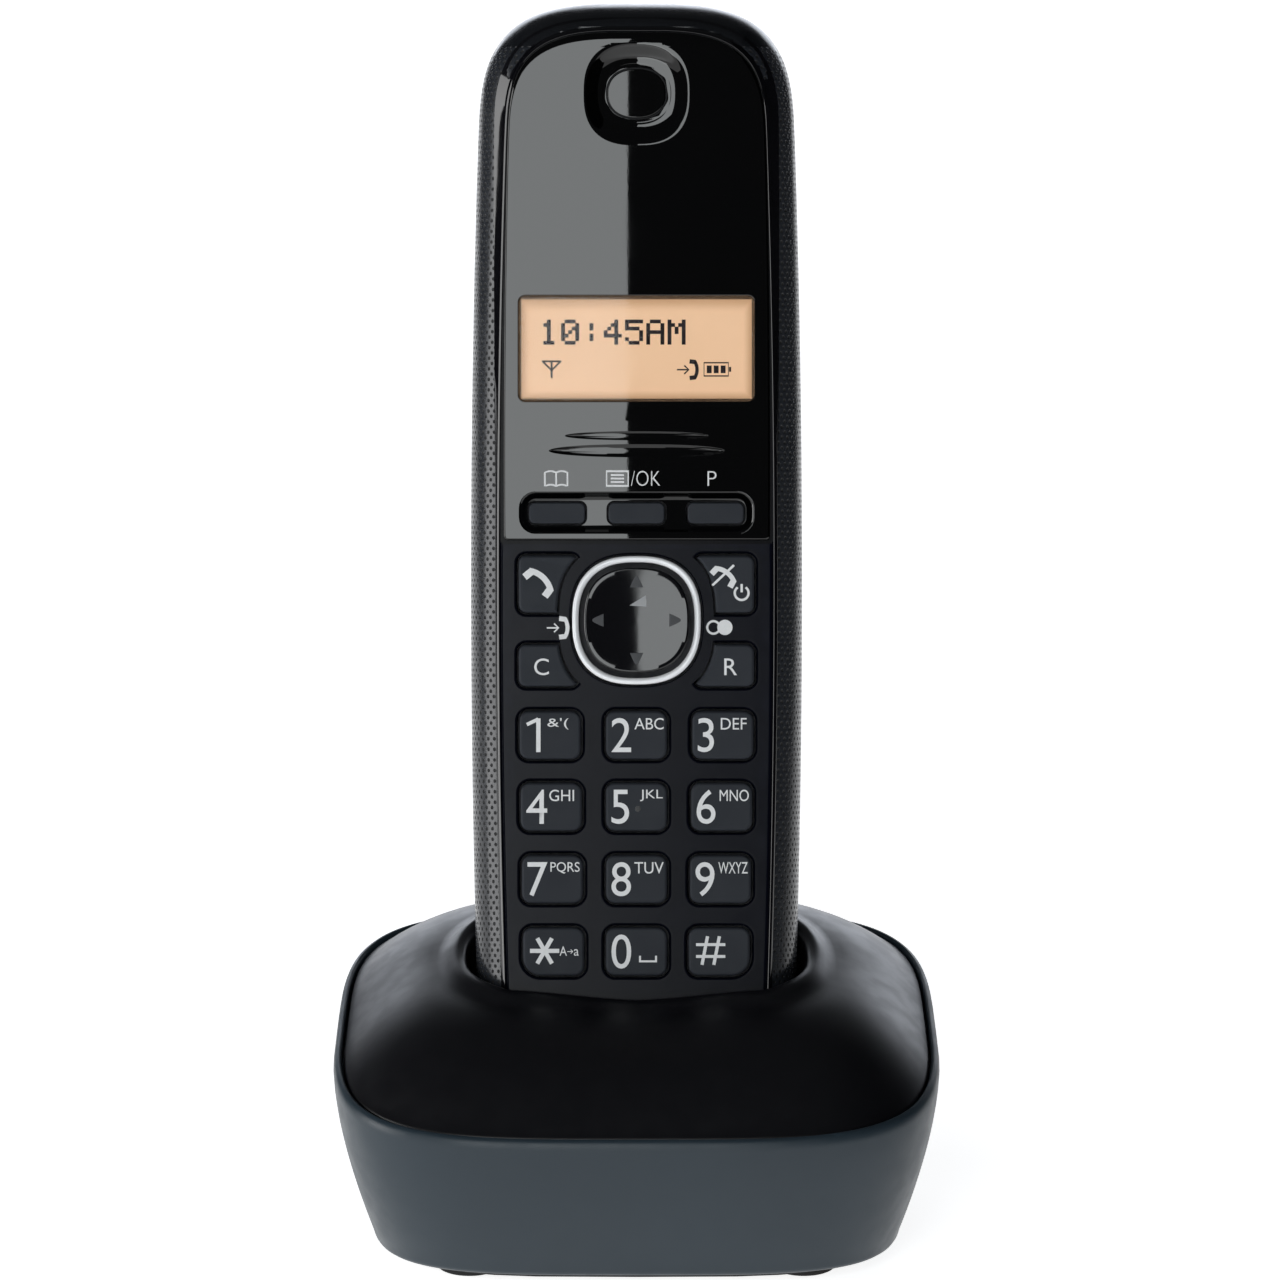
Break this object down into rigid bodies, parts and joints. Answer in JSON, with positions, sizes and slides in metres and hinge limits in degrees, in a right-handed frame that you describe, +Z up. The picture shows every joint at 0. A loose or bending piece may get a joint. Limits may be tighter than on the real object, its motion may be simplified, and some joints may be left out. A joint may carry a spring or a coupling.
{
  "type": "cordless phone with base",
  "caption": "Slim cordless handset with a display, keypad and four-way pad, standing in a rounded two-tone charging base.",
  "frame": {"origin": "on the table, under the middle of the whole phone's box", "axes": "+Z up, -Y the way the keypad faces, +X to the right of a person facing the keypad"},
  "size_m": [0.0872, 0.0902, 0.1712],
  "materials": {
    "base_grey": "satin moulded plastic, slate grey with a blue cast",
    "base_black": "satin black moulded plastic",
    "plate": "fine textured black plastic",
    "rubber_foot": "matt black rubber",
    "board": "green solder mask",
    "steel": "bare steel",
    "contact_metal": "nickel-plated spring strip",
    "jack_plastic": "black moulded plastic",
    "case_texture": "black plastic with fine staggered dimples",
    "face_satin": "satin black plastic",
    "panel_gloss": "polished piano black acrylic",
    "window": "clear acrylic",
    "display": "orange-backlit liquid crystal with dark characters",
    "key_plastic": "satin charcoal plastic with light grey printed figures",
    "nav_silver": "satin silver paint on plastic",
    "nav_gloss": "polished black plastic with moulded arrows",
    "rubber_mat": "grey silicone rubber",
    "speaker": "pressed steel frame",
    "cell_jacket": "shrink sleeve over a steel can"
  },
  "bodies": {
    "base": {"base_body": "base_grey", "base_cover": "base_black", "bottom_plate": "plate", "foot_front_left": "rubber_foot", "foot_front_right": "rubber_foot", "foot_back_left": "rubber_foot", "foot_back_right": "rubber_foot", "base_board": "board", "radio_shield": "steel", "line_jack": "jack_plastic", "power_jack": "jack_plastic", "base_screw_left": "steel", "base_screw_right": "steel"},
    "handset": {"rear_case": "case_texture", "front_case": "face_satin", "display_panel": "panel_gloss", "display_window": "window", "display_module": "display", "earpiece_grille": "panel_gloss", "earpiece_speaker": "speaker", "nav_ring": "nav_silver", "key_mat": "rubber_mat", "handset_board": "board", "microphone": "speaker", "ringer": "speaker", "cell_terminals_low": "steel", "cell_terminals_high": "steel", "cell_left": "cell_jacket", "cell_right": "cell_jacket", "case_screw_left": "steel", "case_screw_right": "steel", "handset_contact_left": "contact_metal", "handset_contact_right": "contact_metal"},
    "battery_cover": {"battery_cover": "case_texture"},
    "soft_key_left": {"soft_key_left": "key_plastic"},
    "soft_key_middle": {"soft_key_middle": "key_plastic"},
    "soft_key_right": {"soft_key_right": "key_plastic"},
    "talk_key": {"talk_key": "key_plastic"},
    "off_key": {"off_key": "key_plastic"},
    "clear_key": {"clear_key": "key_plastic"},
    "recall_key": {"recall_key": "key_plastic"},
    "key_1": {"key_1": "key_plastic"},
    "key_2": {"key_2": "key_plastic"},
    "key_3": {"key_3": "key_plastic"},
    "key_4": {"key_4": "key_plastic"},
    "key_5": {"key_5": "key_plastic"},
    "key_6": {"key_6": "key_plastic"},
    "key_7": {"key_7": "key_plastic"},
    "key_8": {"key_8": "key_plastic"},
    "key_9": {"key_9": "key_plastic"},
    "key_star": {"key_star": "key_plastic"},
    "key_0": {"key_0": "key_plastic"},
    "key_hash": {"key_hash": "key_plastic"},
    "nav_post": {"nav_post": "rubber_mat"},
    "nav_pad": {"nav_pad": "nav_gloss"},
    "locator_button": {"locator_button": "base_black"},
    "base_contact_left": {"base_contact_left": "contact_metal"},
    "base_contact_right": {"base_contact_right": "contact_metal"}
  },
  "joints": [
    {"name": "handset_lift", "type": "slide", "parent": "base", "child": "handset", "axis": [0, 0.2924, 0.9563], "range_m": [0, 0.05]},
    {"name": "battery_cover_slide", "type": "slide", "parent": "handset", "child": "battery_cover", "axis": [0, 0.225, -0.9744], "range_m": [0, 0.005]},
    {"name": "soft_key_left_press", "type": "slide", "parent": "handset", "child": "soft_key_left", "axis": [0, 0.9563, -0.2924], "range_m": [0, 0.0006], "stiffness_N_per_m": 400},
    {"name": "soft_key_middle_press", "type": "slide", "parent": "handset", "child": "soft_key_middle", "axis": [0, 0.9563, -0.2924], "range_m": [0, 0.0006], "stiffness_N_per_m": 400},
    {"name": "soft_key_right_press", "type": "slide", "parent": "handset", "child": "soft_key_right", "axis": [0, 0.9563, -0.2924], "range_m": [0, 0.0006], "stiffness_N_per_m": 400},
    {"name": "talk_key_press", "type": "slide", "parent": "handset", "child": "talk_key", "axis": [0, 0.9563, -0.2924], "range_m": [0, 0.0008], "stiffness_N_per_m": 400},
    {"name": "off_key_press", "type": "slide", "parent": "handset", "child": "off_key", "axis": [0, 0.9563, -0.2924], "range_m": [0, 0.0008], "stiffness_N_per_m": 400},
    {"name": "clear_key_press", "type": "slide", "parent": "handset", "child": "clear_key", "axis": [0, 0.9563, -0.2924], "range_m": [0, 0.0008], "stiffness_N_per_m": 400},
    {"name": "recall_key_press", "type": "slide", "parent": "handset", "child": "recall_key", "axis": [0, 0.9563, -0.2924], "range_m": [0, 0.0008], "stiffness_N_per_m": 400},
    {"name": "key_1_press", "type": "slide", "parent": "handset", "child": "key_1", "axis": [0, 0.9563, -0.2924], "range_m": [0, 0.0008], "stiffness_N_per_m": 400},
    {"name": "key_2_press", "type": "slide", "parent": "handset", "child": "key_2", "axis": [0, 0.9563, -0.2924], "range_m": [0, 0.0008], "stiffness_N_per_m": 400},
    {"name": "key_3_press", "type": "slide", "parent": "handset", "child": "key_3", "axis": [0, 0.9563, -0.2924], "range_m": [0, 0.0008], "stiffness_N_per_m": 400},
    {"name": "key_4_press", "type": "slide", "parent": "handset", "child": "key_4", "axis": [0, 0.9563, -0.2924], "range_m": [0, 0.0008], "stiffness_N_per_m": 400},
    {"name": "key_5_press", "type": "slide", "parent": "handset", "child": "key_5", "axis": [0, 0.9563, -0.2924], "range_m": [0, 0.0008], "stiffness_N_per_m": 400},
    {"name": "key_6_press", "type": "slide", "parent": "handset", "child": "key_6", "axis": [0, 0.9563, -0.2924], "range_m": [0, 0.0008], "stiffness_N_per_m": 400},
    {"name": "key_7_press", "type": "slide", "parent": "handset", "child": "key_7", "axis": [0, 0.9563, -0.2924], "range_m": [0, 0.0008], "stiffness_N_per_m": 400},
    {"name": "key_8_press", "type": "slide", "parent": "handset", "child": "key_8", "axis": [0, 0.9563, -0.2924], "range_m": [0, 0.0008], "stiffness_N_per_m": 400},
    {"name": "key_9_press", "type": "slide", "parent": "handset", "child": "key_9", "axis": [0, 0.9563, -0.2924], "range_m": [0, 0.0008], "stiffness_N_per_m": 400},
    {"name": "key_star_press", "type": "slide", "parent": "handset", "child": "key_star", "axis": [0, 0.9563, -0.2924], "range_m": [0, 0.0008], "stiffness_N_per_m": 400},
    {"name": "key_0_press", "type": "slide", "parent": "handset", "child": "key_0", "axis": [0, 0.9563, -0.2924], "range_m": [0, 0.0008], "stiffness_N_per_m": 400},
    {"name": "key_hash_press", "type": "slide", "parent": "handset", "child": "key_hash", "axis": [0, 0.9563, -0.2924], "range_m": [0, 0.0008], "stiffness_N_per_m": 400},
    {"name": "nav_tilt_up_down", "type": "hinge", "parent": "handset", "child": "nav_post", "pos_m": [0, 0.00201, 0.08744], "axis": [1, 0, 0], "range_deg": [-2.5, 2.5], "stiffness_Nm_per_rad": 0.08},
    {"name": "nav_tilt_left_right", "type": "hinge", "parent": "nav_post", "child": "nav_pad", "pos_m": [0, 0.00201, 0.08744], "axis": [0, 0.2924, 0.9563], "range_deg": [-2.5, 2.5], "stiffness_Nm_per_rad": 0.08},
    {"name": "locator_button_press", "type": "slide", "parent": "base", "child": "locator_button", "axis": [0, -1, 0], "range_m": [0, 0.0008], "stiffness_N_per_m": 400},
    {"name": "base_contact_left_spring", "type": "slide", "parent": "base", "child": "base_contact_left", "axis": [0, -0.2924, -0.9563], "range_m": [0, 0.0008], "stiffness_N_per_m": 300},
    {"name": "base_contact_right_spring", "type": "slide", "parent": "base", "child": "base_contact_right", "axis": [0, -0.2924, -0.9563], "range_m": [0, 0.0008], "stiffness_N_per_m": 300}
  ]
}
